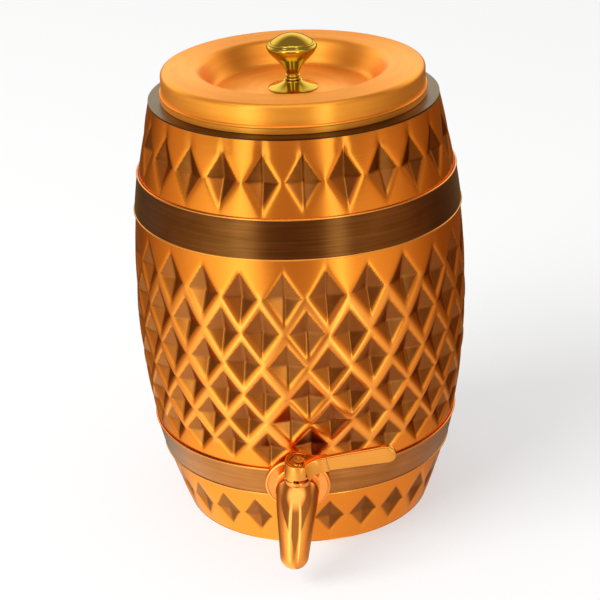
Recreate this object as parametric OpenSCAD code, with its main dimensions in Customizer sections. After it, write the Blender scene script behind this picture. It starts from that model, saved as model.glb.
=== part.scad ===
// Copper barrel drink dispenser: embossed barrel with two dark hoops, a lift-off
// lid with a turned brass knob, and a quarter-turn lever tap low on its front.
// Millimetres. +Z is up, the floor is z = 0, the barrel's axis is the Z axis and
// the tap points along -Y.

/* [Barrel] */
// Widest diameter of the barrel
belly_d = 190; // [180:1:210]
// Height of the widest place above the floor
belly_z = 128; // [120:1:136]
// Height of the shoulder on which the lid rests
body_h = 246; // [236:1:266]
// Diameter of the barrel at the floor
base_d = 142.4; // [136:0.2:150]
// Diameter of the barrel under the shoulder
rim_d = 162.4; // [158:0.2:168]
// Thickness of the barrel's copper sheet
wall = 1.2; // [0.8:0.1:1.6]
// Thickness of the base plate's sheet
base_t = 1.2; // [0.8:0.1:2]
// Height of the base plate's turned-up edge inside the barrel
base_edge_h = 6; // [4:0.5:7]

/* [Diamonds] */
// Dents around the barrel in the top and bottom rows
end_columns = 24; // [20:1:25]
// Dents around the barrel in each row between the hoops
mid_columns = 25; // [20:1:27]
// Distance of the first row's middle under the upper hoop
first_row_drop = 20; // [18:0.2:24]
// Least distance of the last row's middle over the lower hoop
last_row_rise = 15; // [12:0.5:20]
// Step from the first row to the second
row_pitch = 20.4; // [18:0.1:21]
// How much each step shrinks from the one above it
row_ratio = 0.94; // [0.9:0.01:0.96]
// Share of the column spacing that a dent is wide
dent_fill_w = 0.83; // [0.7:0.01:0.84]
// Share of the spacing between like rows that a dent is tall
dent_fill_h = 0.72; // [0.6:0.01:0.76]
// Depth of the dents
dent_depth = 3.8; // [2.5:0.1:4.5]
// Distance of the top row's middle under the barrel's upper edge
top_row_drop = 21.4; // [18:0.1:24]
// Width of the dents above the upper hoop
top_dent_w = 19.8; // [15:0.2:20]
// Height of the dents above the upper hoop
top_dent_h = 31; // [22:0.5:33]
// Height of the row under the lower hoop
bottom_row_z = 18.4; // [17:0.1:20]
// Width of the dents under the lower hoop
bottom_dent_w = 17; // [10:0.5:17.5]
// Height of the dents under the lower hoop
bottom_dent_h = 21; // [14:0.5:22]
// Depth of the dents under the lower hoop
bottom_dent_depth = 2.4; // [1.5:0.1:3]
// Turn of the top row from the tap, about the barrel's axis
top_row_turn = 6.3; // [0:0.1:15]
// Turn of the first row under the upper hoop
mid_row_turn = -2.2; // [-7.5:0.1:7.5]
// Turn of the bottom row
bottom_row_turn = -3.2; // [-7.5:0.1:7.5]

/* [Hoops] */
// Thickness of the hoops
hoop_t = 0.8; // [0.5:0.1:1.2]
// Distance of the upper hoop's upper edge under the shoulder
upper_hoop_drop = 41.6; // [38:0.1:44]
// Width of the upper hoop
upper_hoop_w = 22; // [16:0.2:23]
// Height of the lower hoop's lower edge
lower_hoop_z = 36.9; // [34:0.1:38]
// Width of the lower hoop
lower_hoop_w = 18.4; // [14:0.2:20]

/* [Neck] */
// Thickness of the neck ring's sheet
neck_t = 1; // [0.8:0.1:1.4]
// Depth of the neck ring's lip inside the barrel
neck_lip_h = 6; // [4:0.5:10]
// Space left between the top of the collar and the lid
collar_room = 4; // [2:0.5:6]

/* [Lid] */
// Diameter of the lid over its folded hem
lid_d = 149.2; // [146:0.2:152]
// Height of the lid above the shoulder
lid_h = 16; // [13:0.5:20]
// Thickness of the lid's sheet
lid_t = 1; // [0.8:0.1:1.2]
// Height of the folded hem
hem_h = 4.4; // [3:0.2:6]
// Radius of the lid's outer edge
lid_edge_r = 2.6; // [2:0.1:4]
// Diameter of the well's mouth
well_d = 105; // [90:1:112]
// Diameter of the well's floor
well_floor_d = 90; // [76:1:94]
// Depth of the well
well_depth = 13; // [8:0.5:14]
// Radius of the well's lip and of its bottom corner
well_r = 4; // [3:0.5:5]

/* [Knob] */
// Height of the knob above the well's floor
knob_h = 31; // [29:0.2:40]
// Diameter of the knob's head
knob_d = 28.4; // [24:0.2:32]
// Diameter of the knob's foot
foot_d = 28; // [22:0.2:32]
// Height of the knob's foot
foot_h = 4.6; // [4:0.2:6]
// Diameter of the knob's thin neck
knob_neck_d = 7.6; // [7:0.2:9]
// Diameter of the bead under the neck
knob_bead_d = 9.4; // [9:0.2:11]
// Diameter of the screw that holds the knob
knob_screw_d = 4; // [3:0.5:4.5]
// Depth to which that screw reaches into the knob
knob_screw_in = 13; // [8:0.5:15]
// Diameter of the washer under the lid
knob_washer_d = 16; // [12:0.5:22]

/* [Tap on the barrel] */
// Height of the tap's shank over the middle of the lower hoop
tap_over_hoop = 2.4; // [0:0.2:3]
// Turn of the tap on its shank, as it was tightened
tap_turn = 4; // [0:0.5:6]
// Diameter of the threaded shank
shank_d = 16; // [14:0.5:18]
// Bore of the shank
inlet_d = 8; // [6:0.5:9]
// Diameter of the flange
flange_d = 36.5; // [32:0.5:40]
// Thickness of the flange
flange_t = 2.8; // [2:0.1:3.5]
// Diameter of the outer seal
outer_seal_d = 30; // [26:0.5:32]
// Thickness of the outer seal on the shank's axis
outer_seal_t = 1.4; // [1:0.1:2]
// Diameter of the inner seal and of its washer
inner_seal_d = 25; // [23:0.5:27]
// Thickness of the inner seal on the shank's axis
inner_seal_t = 2.4; // [2:0.1:3]
// Thickness of the flat washer
back_washer_t = 1.5; // [1:0.1:2]
// Width of the nut across its flats
nut_af = 24; // [22:0.5:27]
// Thickness of the nut
nut_t = 6; // [4:0.5:8]
// Length of the shank that shows past the nut
shank_past = 4; // [2:0.5:8]

/* [Valve and spout] */
// Distance of the valve's axis from the barrel's face
valve_out = 15; // [14:0.2:17]
// Diameter of the round valve chamber
chamber_d = 24.2; // [23:0.2:26]
// Height of the chamber's centre over the shank's axis
chamber_up = 3.6; // [3:0.2:5]
// Diameter of the neck over the chamber
neck_d = 15; // [14.4:0.2:16]
// Height of the neck's top over the shank's axis
neck_top = 16; // [15.4:0.1:18]
// Diameter of the turning plug
plug_d = 10; // [9.4:0.1:10.4]
// Depth of the plug's lower end under the shank's axis
plug_drop = 7.4; // [7.1:0.1:8]
// Height of the plug's shoulder over the shank's axis
plug_top = 10.4; // [8:0.1:10.8]
// Bore across the plug
port_d = 5.6; // [4.5:0.1:5.8]
// Diameter of the plug's stem
stem_d = 7.4; // [7:0.1:7.8]
// Width of the stem's square end
square_w = 5; // [4.4:0.1:5.1]
// Height of the square end
square_h = 6; // [4:0.2:6.4]
// Height of the o-ring centres over and under the shank's axis
o_ring_reach = 5.6; // [5:0.1:6]
// Thickness of the o-rings
o_ring_t = 1.3; // [1:0.1:1.4]
// Thickness of the slippery washer on the plug's shoulder
thrust_t = 1.2; // [0.8:0.1:1.6]
// Thickness of the casting under and around the plug's lower end
plug_wall = 1.6; // [1.2:0.1:2.2]
// Length of the spout's first stretch, from the chamber's centre to the upper knee
first_reach = 15; // [14:0.2:17]
// Length of its second stretch, from knee to knee
second_reach = 12; // [10:0.2:13]
// Length of its last stretch, from the lower knee to the nose's centre
last_reach = 9.4; // [8:0.2:11]
// Dip of the first stretch under the shank's axis
spout_dip = 27; // [24:0.5:30]
// Turn of the spout at each knee
knee_turn = 25; // [20:0.5:27]
// Diameter of the spout's nose
nose_d = 15.8; // [15:0.2:18]
// Bore of the spout's outlet
outlet_d = 8; // [6:0.5:9]
// Width of the flat lip around the outlet
outlet_lip = 1.2; // [0.8:0.1:2]

/* [Lever] */
// Diameter of the lever's hub
hub_d = 15; // [14.6:0.2:17]
// Height of the lever's hub
hub_h = 11; // [10.4:0.2:13]
// Distance from the valve's axis to the lever's tip
lever_len = 54.5; // [40:0.5:60]
// Rise of the lever from the hub
lever_rise = 15; // [10:0.5:18]
// Height of the lever at the hub
lever_root_h = 8.6; // [7:0.1:9]
// Height of the lever near its tip
lever_tip_h = 11.2; // [8:0.1:12]
// Thickness of the lever at the hub
lever_t = 4; // [3:0.1:5]
// Thickness of the lever's grip
grip_t = 2.8; // [2:0.1:4]
// How far the lever's neck stands out over and under its grip
neck_out = 0.3; // [0.2:0.05:0.6]
// Distance from the valve's axis to the grip
grip_start = 17; // [14:0.5:22]
// Turn of the lever from shut to open
lever_swing = 90; // [60:1:90]
// Diameter of the lever's screw
lever_screw_d = 3; // [2.5:0.1:3.2]
// Diameter of the recess in the hub's top
recess_d = 10; // [9:0.2:10.4]
// Depth of that recess
recess_h = 2.6; // [2:0.1:2.8]
// Thickness of the washer in the recess
lever_washer_t = 0.8; // [0.5:0.1:1.2]
// Diameter of the stop pin
pin_d = 1.6; // [1.2:0.1:1.8]
// Height of the stop pin over the neck
pin_h = 2; // [1.5:0.1:2.6]
// Depth of the stop pin in the neck
pin_in = 4; // [2.5:0.1:5]

/* [Fits] */
// Gap between sheets that are soldered together
seam = 0.05; // [0.03:0.01:0.1]
// Gap between the barrel's inside and the pieces that lie against it
inside_gap = 0.15; // [0.1:0.01:0.2]
// Gap between a bolt, pin or thread and its hole, all round
bolt_gap = 0.05; // [0.03:0.01:0.1]
// Gap around the turning plug
run_gap = 0.05; // [0.03:0.01:0.08]
// Gap between the lever and the fixed pieces that it passes
swing_gap = 0.4; // [0.3:0.05:0.6]
// Gap between the lid's skirt and the collar
lid_gap = 0.6; // [0.4:0.1:1]
// Gap between the shank and the holes that it passes through
shank_gap = 0.3; // [0.2:0.05:0.5]

/* [Hidden] */
$fn = 96;

copper = "#d98a3a";
patina = "#5a3a1c";
gold_brass = "#d9ae52";
plain_brass = "#c9a24c";
steel = "#b9bcc0";
rubber = "#2b2b2b";
ptfe = "#ecece6";

// The barrel's outline is two arcs that meet upright at its widest place.
belly_r = belly_d / 2;
shell_h = body_h - neck_t;
function arc_radius(rise, inset) = (rise * rise + inset * inset) / (2 * inset);
low_arc = arc_radius(belly_z, belly_r - base_d / 2);
high_arc = arc_radius(shell_h - belly_z, belly_r - rim_d / 2);
function arc_at(z) = z < belly_z ? low_arc : high_arc;
function barrel_r(z, out = 0) =
    belly_r - arc_at(z) + sqrt(pow(arc_at(z) + out, 2) - pow(z - belly_z, 2));
function barrel_slope(z) = asin((belly_z - z) / arc_at(z));
cut_past = 3;
band_h = body_h / 16;
// Radius of the straight bands that the barrel's curve is drawn with
function band_r(z, out) =
    let (low = floor(z / band_h) * band_h, share = (z - low) / band_h)
    (1 - share) * barrel_r(low, out) + share * barrel_r(low + band_h, out);

// The rows of dents, from the top: height, width, height of the dent, depth, turn, count.
upper_hoop_z = body_h - upper_hoop_drop - upper_hoop_w;
top_row_z = shell_h - top_row_drop;
first_row_z = upper_hoop_z - first_row_drop;
row_space = first_row_z - lower_hoop_z - lower_hoop_w - last_row_rise;
mid_rows = 1 + floor(ln(1 - row_space * (1 - row_ratio) / row_pitch) / ln(row_ratio));
function column_arc(z) = 2 * PI * barrel_r(z) / mid_columns;
function mid_row_z(i) = first_row_z - row_pitch * (1 - pow(row_ratio, i)) / (1 - row_ratio);
function mid_turn(i) = mid_row_turn + (i % 2) * 180 / mid_columns;
ROWS = concat(
    [[top_row_z, top_dent_w, top_dent_h, dent_depth, top_row_turn, end_columns]],
    [for (i = [0 : mid_rows - 1])
        let (z = mid_row_z(i))
        [z, dent_fill_w * column_arc(z), dent_fill_h * 2 * row_pitch * pow(row_ratio, i),
            dent_depth, mid_turn(i), mid_columns]],
    [[bottom_row_z, bottom_dent_w, bottom_dent_h, bottom_dent_depth, bottom_row_turn, end_columns]]
);
// How far a cutter stands out of the sheet, as a share of its depth
cutter_past = 1.22;

// Heights and radii of the neck, the lid and the knob
lid_r = lid_d / 2;
skirt_r = lid_r - lid_t;
collar_r = skirt_r - lid_t - lid_gap;
collar_top = body_h + lid_h - lid_t - collar_room;
lid_top = body_h + lid_h;
well_floor = lid_top - well_depth;
knob_screw_r = knob_screw_d / 2;
knob_hole_r = knob_screw_r + bolt_gap;
knob_washer_t = 1;
head_wide = 2;
head_tall = 0.7;
screw_head_d = head_wide * knob_screw_d;
screw_head_h = head_tall * knob_screw_d;

// Stations along the tap's shank, outwards from the barrel's face
tap_z = lower_hoop_z + lower_hoop_w / 2 + tap_over_hoop;
seal_face = hoop_t + seam + outer_seal_t;
flange_face = seal_face + flange_t;
inner_face = -wall - inner_seal_t;
washer_face = inner_face - back_washer_t;
nut_face = washer_face - nut_t;
shank_end = nut_face - shank_past;
hole_r = shank_d / 2 + shank_gap;
thread_r = shank_d / 2 + bolt_gap;

// Stations along the valve's axis, upwards from the shank's axis
plug_r = plug_d / 2;
plug_bore_r = plug_r + run_gap;
plug_end = -plug_drop - 2 * run_gap;
thrust_base = plug_top + run_gap;
gland_base = thrust_base + thrust_t;
gland_sink = 0.4;
gland_top = neck_top - gland_sink;
hub_base = neck_top + swing_gap;
hub_top = hub_base + hub_h;
square_base = hub_base - swing_gap / 2;
square_top = square_base + square_h;
recess_base = hub_top - recess_h;
washer_top = recess_base + lever_washer_t;
lever_head_d = head_wide * lever_screw_d;
lever_head_h = head_tall * lever_screw_d;
lever_screw_in = 4;
groove_room = 0.5;
groove_w = o_ring_t + groove_room;
groove_r = plug_bore_r - o_ring_t - 2 * run_gap;
pin_ring_r = (neck_d / 2 + plug_bore_r) / 2;
nose_r = nose_d / 2;
chamber_r = chamber_d / 2;
mouth_r = outlet_d / 2 + outlet_lip;
mouth_past = sqrt(nose_r * nose_r - mouth_r * mouth_r);

// The spout's middle line, as the starts of its stretches in the tap's [y, z] plane,
// and its radius there, which shrinks evenly from the chamber to the nose.
REACHES = [first_reach, second_reach, last_reach];
function dip_at(i) = spout_dip + i * knee_turn;
function gone_at(i) = i == 0 ? 0 : gone_at(i - 1) + REACHES[i - 1];
function spout_at(i) = i == 0
    ? [-valve_out, chamber_up]
    : spout_at(i - 1) - REACHES[i - 1] * [cos(dip_at(i - 1)), sin(dip_at(i - 1))];
function spout_r(i) = chamber_r + (nose_r - chamber_r) * gone_at(i) / gone_at(len(REACHES));

function unit(v) = v / norm(v);
function left_of(v) = [-v.y, v.x];
function turned(v, a) = [v.x * cos(a) - v.y * sin(a), v.x * sin(a) + v.y * cos(a)];
function curve(a, b, c, steps = 10) = [
    for (i = [0 : steps])
        let (t = i / steps)
        pow(1 - t, 2) * a + 2 * t * (1 - t) * b + t * t * c
];

// One side of a sheet that runs through points and is bent at each by a radius.
function bent_side(points, radii, side, steps = 8) = [
    for (i = [0 : len(points) - 1])
        let (
            last = len(points) - 1,
            ahead = i == last ? unit(points[i] - points[i - 1]) : unit(points[i + 1] - points[i]),
            back = i == 0 ? ahead : unit(points[i] - points[i - 1]),
            bend = atan2(back.x * ahead.y - back.y * ahead.x, back * ahead),
            hand = sign(bend),
            centre = points[i] - radii[i] * tan(abs(bend) / 2) * back + hand * radii[i] * left_of(back)
        )
        each radii[i] == 0
            ? [points[i] + side * left_of(back)]
            : [for (k = [0 : steps])
                centre - (hand * radii[i] - side) * turned(left_of(back), bend * k / steps)]
];

module sheet(points, radii, thick) {
    near = bent_side(points, radii, -thick / 2);
    far = bent_side(points, radii, thick / 2);
    polygon(concat(near, [for (i = [len(far) - 1 : -1 : 0]) far[i]]));
}

module ring(outer, inner, z0, z1) {
    translate([0, 0, z0])
        difference() {
            cylinder(r = outer, h = z1 - z0);
            translate([0, 0, -1]) cylinder(r = inner, h = z1 - z0 + 2);
        }
}

// Half section of the barrel between two heights, moved out by a distance.
// Its curve is drawn as straight bands whose ends lie on the two arcs.
module barrel_half(out, z0, z1) {
    levels = [for (z = [-band_h : band_h : body_h + band_h]) if (z > z0 && z < z1) z];
    heights = concat([z0], levels, [z1]);
    polygon(concat([[0, z0]], [for (z = heights) [barrel_r(z, out), z]], [[0, z1]]));
}

module barrel_solid(out, z0, z1) {
    rotate_extrude($fn = 360) barrel_half(out, z0, z1);
}

// One four-sided dent. Its corners lie on the barrel, and push moves it inwards.
module dent(row, at, push) {
    z = row[0];
    r = barrel_r(z);
    slope = barrel_slope(z);
    normal = [cos(slope), -sin(slope)];
    spread = row[1] / 2 / r * 180 / PI;
    tip = [r, z] - row[3] * normal;
    point = [tip.x * sin(at), -tip.x * cos(at), tip.y];
    corners = [
        for (c = [[spread, 0], [0, row[2] / 2], [-spread, 0], [0, -row[2] / 2]])
            let (cz = z + c[1], cr = barrel_r(cz), ca = at + c[0])
            [cr * sin(ca), -cr * cos(ca), cz]
    ];
    inwards = -push * [normal.x * sin(at), -normal.x * cos(at), normal.y];
    translate(inwards)
        polyhedron(
            points = concat([point], [for (c = corners) point + cutter_past * (c - point)]),
            faces = [[0, 1, 2], [0, 2, 3], [0, 3, 4], [0, 4, 1], [1, 4, 2], [2, 4, 3]]
        );
}

// The slope of a dent's facets says how far its inside lies behind its outside.
function facet_push(row, thick) =
    let (w = row[1] / 2, h = row[2] / 2, reach = w * h / norm([w, h]))
    thick * norm([reach, row[3]]) / reach;

module dents(thick) {
    for (row = ROWS)
        for (i = [0 : row[5] - 1])
            dent(row, row[4] + i * 360 / row[5], facet_push(row, thick));
}

// The tap's own frame: -Y runs out along the shank and +Z runs up the valve.
module on_tap() {
    translate([0, -barrel_r(tap_z), tap_z])
        rotate([barrel_slope(tap_z), 0, 0])
            rotate([0, tap_turn, 0])
                children();
}

module along_shank(from, to, r) {
    translate([0, -from, 0])
        rotate([90, 0, 0])
            cylinder(r = r, h = to - from);
}

module on_valve() {
    translate([0, -valve_out, 0]) children();
}

module along_spout(i) {
    translate([0, spout_at(i).x, spout_at(i).y])
        rotate([90 + dip_at(i), 0, 0])
            children();
}

module body_shell() {
    color(copper)
        difference() {
            barrel_solid(0, 0, shell_h);
            dents(0);
            difference() {
                barrel_solid(-wall, -cut_past, shell_h + cut_past);
                dents(wall);
            }
            on_tap() along_shank(-cut_past - wall, cut_past, hole_r);
        }
}

module base_plate() {
    edge_r = band_r(base_t / 2, -wall - inside_gap - base_t / 2);
    top_r = band_r(base_edge_h, -wall - inside_gap - base_t / 2);
    color(copper)
        rotate_extrude()
            intersection() {
                union() {
                    sheet([[edge_r / 2, base_t / 2], [edge_r, base_t / 2], [top_r, base_edge_h]],
                        [0, base_t, 0], base_t);
                    square([edge_r / 2, base_t]);
                }
                square([belly_r, base_edge_h]);
            }
}

module hoop(z0, width) {
    color(patina)
        difference() {
            barrel_solid(seam + hoop_t, z0, z0 + width);
            barrel_solid(seam, z0 - 1, z0 + width + 1);
            on_tap() along_shank(-cut_past, cut_past, hole_r);
        }
}

module upper_hoop() {
    hoop(upper_hoop_z, upper_hoop_w);
}

module lower_hoop() {
    hoop(lower_hoop_z, lower_hoop_w);
}

module neck_ring() {
    mid_r = collar_r - neck_t / 2;
    mid_z = body_h - neck_t / 2;
    lip_r = barrel_r(shell_h, -wall) - seam;
    color(patina)
        rotate_extrude() {
            sheet([[mid_r, collar_top], [mid_r, mid_z], [rim_d / 2, mid_z]], [0, neck_t, 0], neck_t);
            translate([lip_r - neck_t, shell_h - neck_lip_h])
                square([neck_t, neck_lip_h + neck_t / 2]);
        }
}

module lid_shell() {
    floor_z = well_floor - lid_t / 2;
    top_z = lid_top - lid_t / 2;
    mid_r = skirt_r - lid_t / 2;
    color(copper)
        rotate_extrude() {
            sheet([[knob_hole_r, floor_z], [well_floor_d / 2, floor_z], [well_d / 2, top_z],
                    [mid_r, top_z], [mid_r, body_h]],
                [0, well_r, well_r, lid_edge_r - lid_t / 2, 0], lid_t);
            translate([mid_r, body_h]) square([lid_r - mid_r, hem_h]);
        }
}

module lid_knob() {
    neck_r = knob_neck_d / 2;
    bead_r = knob_bead_d / 2;
    head_r = knob_d / 2;
    bead_h = 3.4;
    head_h = 10.8;
    dome_h = 5.6;
    groove = 0.5;
    bead_top = foot_h + bead_h;
    head_z = knob_h - head_h;
    rim_z = knob_h - dome_h;
    color(gold_brass)
        difference() {
            translate([0, 0, well_floor])
                rotate_extrude()
                    polygon(concat(
                        [[0, foot_h]],
                        curve([neck_r, foot_h], [2 * bead_r - neck_r, foot_h + bead_h / 2],
                            [neck_r, bead_top]),
                        curve([neck_r, bead_top + 2 * groove], [neck_r + 1.8, head_z - 0.36 * head_r],
                            [head_r - 1.4, head_z]),
                        curve([head_r - 1.1, head_z + 0.3], [head_r + 1.2, (head_z + rim_z) / 2],
                            [head_r - 1.2, rim_z], 8),
                        [[head_r - 1.3 - groove, rim_z], [head_r - 1.6 - groove, rim_z + groove]],
                        curve([head_r - 2.2, rim_z + groove], [0.4 * head_r, knob_h], [0, knob_h])
                    ));
            translate([0, 0, well_floor + foot_h - 1])
                cylinder(r = knob_hole_r, h = knob_screw_in + 2);
        }
}

module knob_foot() {
    foot_r = foot_d / 2;
    lip = 1.1;
    top_r = knob_bead_d / 2 + 0.4;
    color(gold_brass)
        translate([0, 0, well_floor])
            rotate_extrude()
                polygon(concat(
                    [[knob_hole_r, 0], [foot_r, 0], [foot_r, 0.6], [foot_r - 0.5, lip]],
                    curve([foot_r - 2, lip], [top_r + 0.8, lip + 0.6], [top_r, foot_h]),
                    [[knob_hole_r, foot_h]]
                ));
}

module knob_washer() {
    top = well_floor - lid_t;
    color(steel) ring(knob_washer_d / 2, knob_hole_r, top - knob_washer_t, top);
}

module knob_screw() {
    seat = well_floor - lid_t - knob_washer_t;
    color(steel)
        difference() {
            union() {
                translate([0, 0, seat - screw_head_h]) cylinder(d = screw_head_d, h = screw_head_h);
                translate([0, 0, seat])
                    cylinder(r = knob_screw_r, h = well_floor + foot_h + knob_screw_in - seat);
            }
            translate([0, 0, seat - screw_head_h])
                cube([screw_head_d + 1, 1.2, screw_head_h], center = true);
        }
}

// One stretch of the spout: a cone that ends in a ball, cut off past the ball's centre.
// It starts a little inside the ball before it, and the first one starts with the chamber.
module stretch(i, past) {
    inside = 0.2;
    start_r = i == 0 ? chamber_r : spout_r(i) - inside;
    end_r = spout_r(i + 1);
    rotate_extrude() {
        if (i == 0)
            intersection() {
                circle(r = chamber_r);
                translate([0, -chamber_r]) square(chamber_r);
            }
        polygon([[0, 0], [start_r, 0], [end_r, REACHES[i]], [0, REACHES[i]]]);
        intersection() {
            translate([0, REACHES[i]]) circle(r = end_r);
            translate([0, REACHES[i]]) square([end_r, past]);
        }
    }
}

module tap_body() {
    collar_shank_r = chamber_r - 1.2;
    knee_room = 0.3;
    last = len(REACHES) - 1;
    color(gold_brass)
        on_tap()
            difference() {
                union() {
                    along_shank(shank_end, valve_out, shank_d / 2);
                    along_shank(flange_face, valve_out, collar_shank_r);
                    on_valve() cylinder(d = neck_d, h = neck_top);
                    on_valve() translate([0, 0, plug_end - plug_wall])
                        cylinder(r = plug_bore_r + plug_wall, h = plug_drop);
                    difference() {
                        along_spout(0) stretch(0, chamber_r);
                        along_shank(flange_face - chamber_d, flange_face, 2 * chamber_d);
                    }
                    along_spout(1) stretch(1, chamber_r);
                    along_spout(last) stretch(last, mouth_past);
                }
                along_shank(shank_end - 1, -spout_at(1).x, inlet_d / 2);
                on_valve() translate([0, 0, plug_end])
                    cylinder(r = plug_bore_r, h = neck_top + plug_drop + 1);
                for (i = [1 : last]) {
                    along_spout(i) cylinder(d = outlet_d, h = REACHES[i] + (i == last ? nose_d : 0));
                    along_spout(i) sphere(r = outlet_d / 2 + knee_room);
                }
                on_valve() translate([0, -pin_ring_r, neck_top - pin_in])
                    cylinder(r = pin_d / 2 + bolt_gap / 2, h = pin_in + 1);
            }
}

module tap_flange() {
    soft = 0.9;
    color(gold_brass)
        on_tap()
            translate([0, -seal_face, 0])
                rotate([90, 0, 0])
                    rotate_extrude()
                        difference() {
                            union() {
                                translate([thread_r, 0])
                                    square([flange_d / 2 - soft - thread_r, flange_t]);
                                square([flange_d / 2, flange_t - soft]);
                                translate([flange_d / 2 - soft, flange_t - soft]) circle(r = soft);
                            }
                            translate([-1, -1]) square([thread_r + 1, flange_t + 2]);
                        }
}

module outer_seal() {
    color(rubber)
        difference() {
            on_tap()
                difference() {
                    along_shank(-hole_r, seal_face, outer_seal_d / 2);
                    along_shank(-hole_r - 1, seal_face + 1, thread_r);
                }
            barrel_solid(seam, 0, belly_z);
            barrel_solid(2 * seam + hoop_t, lower_hoop_z - seam, lower_hoop_z + lower_hoop_w + seam);
        }
}

module inner_seal() {
    color(rubber)
        intersection() {
            on_tap()
                difference() {
                    along_shank(inner_face, 0, inner_seal_d / 2);
                    along_shank(inner_face - 1, 1, thread_r);
                }
            barrel_solid(-wall - inside_gap, 0, belly_z);
        }
}

module back_washer() {
    color(steel)
        on_tap()
            difference() {
                along_shank(washer_face, inner_face, inner_seal_d / 2);
                along_shank(washer_face - 1, inner_face + 1, thread_r);
            }
}

module back_nut() {
    color(plain_brass)
        on_tap()
            difference() {
                translate([0, -nut_face, 0])
                    rotate([90, 0, 0])
                        cylinder(d = nut_af / cos(30), h = nut_t, $fn = 6);
                along_shank(nut_face - 1, washer_face + 1, thread_r);
            }
}

module gland_nut() {
    spanner_r = 0.5;
    hole_ring = (plug_r + stem_d / 2) / 2;
    color(plain_brass)
        on_tap()
            on_valve()
                difference() {
                    ring(plug_bore_r - bolt_gap, stem_d / 2 + run_gap, gland_base, gland_top);
                    for (side = [0, 180])
                        rotate([0, 0, side])
                            translate([hole_ring, 0, gland_top - 1.5])
                                cylinder(r = spanner_r, h = 2);
                }
}

module thrust_washer() {
    color(ptfe)
        on_tap()
            on_valve()
                ring(plug_bore_r - bolt_gap, stem_d / 2 + run_gap, thrust_base, gland_base - run_gap / 2);
}

module tap_plug() {
    color(plain_brass)
        on_tap()
            on_valve()
                difference() {
                    union() {
                        translate([0, 0, -plug_drop]) cylinder(r = plug_r, h = plug_drop + plug_top);
                        cylinder(d = stem_d, h = square_base);
                        translate([-square_w / 2, -square_w / 2, square_base - 1])
                            cube([square_w, square_w, square_h + 1]);
                    }
                    rotate([0, 90, 0]) cylinder(d = port_d, h = 2 * plug_d, center = true);
                    for (side = [-1, 1])
                        ring(plug_d, groove_r, side * o_ring_reach - groove_w / 2,
                            side * o_ring_reach + groove_w / 2);
                    translate([0, 0, square_top - lever_screw_in])
                        cylinder(r = lever_screw_d / 2 + bolt_gap / 2, h = lever_screw_in + 1);
                }
}

module plug_o_rings() {
    color(rubber)
        on_tap()
            on_valve()
                for (side = [-1, 1])
                    translate([0, 0, side * o_ring_reach])
                        rotate_extrude()
                            translate([groove_r + run_gap + o_ring_t / 2, 0])
                                circle(d = o_ring_t, $fn = 32);
}

module stop_pin() {
    color(steel)
        on_tap()
            on_valve()
                translate([0, -pin_ring_r, neck_top - pin_in])
                    cylinder(d = pin_d, h = pin_in + pin_h);
}

// Side views of the lever's whole blade and of its thicker neck, tip to the right.
lever_tip_r = lever_tip_h / 2;
lever_tip_at = lever_len - lever_tip_r;
function lever_half(x) = (lever_root_h + (lever_tip_h - lever_root_h) * x / lever_tip_at) / 2;

module lever_strip(to, out) {
    near = lever_half(0) + out;
    far = lever_half(to) + out;
    polygon([[0, -near], [to, -far], [to, far], [0, near]]);
}

module lever_blade() {
    lever_strip(lever_tip_at, 0);
    translate([lever_tip_at, 0]) circle(r = lever_tip_r);
}

module lever_plate(thick) {
    translate([0, thick / 2, hub_base + hub_h / 2])
        rotate([90, 0, 0])
            linear_extrude(thick)
                rotate(lever_rise)
                    children();
}

module tap_lever() {
    soft = 0.8;
    pin_half = asin((pin_d / 2 + swing_gap) / pin_ring_r);
    color(gold_brass)
        on_tap()
            on_valve()
                difference() {
                    union() {
                        translate([0, 0, hub_base])
                            rotate_extrude() {
                                square([hub_d / 2 - soft, hub_h]);
                                square([hub_d / 2, hub_h - soft]);
                                intersection() {
                                    translate([hub_d / 2 - soft, hub_h - soft]) circle(r = soft);
                                    translate([0, hub_h - soft]) square([hub_d, soft]);
                                }
                            }
                        lever_plate(grip_t) lever_blade();
                        lever_plate(lever_t) lever_strip(grip_start, neck_out);
                    }
                    translate([0, 0, recess_base]) cylinder(d = recess_d, h = hub_h);
                    translate([0, 0, hub_base]) cylinder(r = lever_screw_d / 2 + bolt_gap, h = hub_h);
                    translate([-square_w / 2 - bolt_gap, -square_w / 2 - bolt_gap, hub_base - 1])
                        cube([square_w + 2 * bolt_gap, square_w + 2 * bolt_gap,
                            square_top + bolt_gap - hub_base + 1]);
                    translate([0, 0, hub_base - 1])
                        rotate([0, 0, -90 - pin_half])
                            rotate_extrude(angle = lever_swing + 2 * pin_half)
                                translate([pin_ring_r - pin_d / 2 - swing_gap, 0])
                                    square([hub_d, pin_h + 1]);
                }
}

module lever_washer() {
    color(plain_brass)
        on_tap()
            on_valve()
                ring(recess_d / 2 - swing_gap, lever_screw_d / 2 + bolt_gap, recess_base, washer_top);
}

module lever_screw() {
    slot_w = 0.9;
    color(plain_brass)
        on_tap()
            on_valve()
                difference() {
                    union() {
                        translate([0, 0, square_top - lever_screw_in + 0.5])
                            cylinder(d = lever_screw_d, h = washer_top - square_top + lever_screw_in - 0.5);
                        translate([0, 0, washer_top]) cylinder(d = lever_head_d, h = lever_head_h);
                    }
                    for (turn = [0, 90])
                        rotate([0, 0, turn])
                            translate([0, 0, washer_top + lever_head_h])
                                cube([0.7 * lever_head_d, slot_w, lever_head_h], center = true);
                }
}

body_shell();
base_plate();
upper_hoop();
lower_hoop();
neck_ring();
lid_shell();
lid_knob();
knob_foot();
knob_screw();
knob_washer();
tap_body();
tap_flange();
outer_seal();
inner_seal();
back_washer();
back_nut();
gland_nut();
thrust_washer();
tap_plug();
plug_o_rings();
stop_pin();
tap_lever();
lever_washer();
lever_screw();
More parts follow.
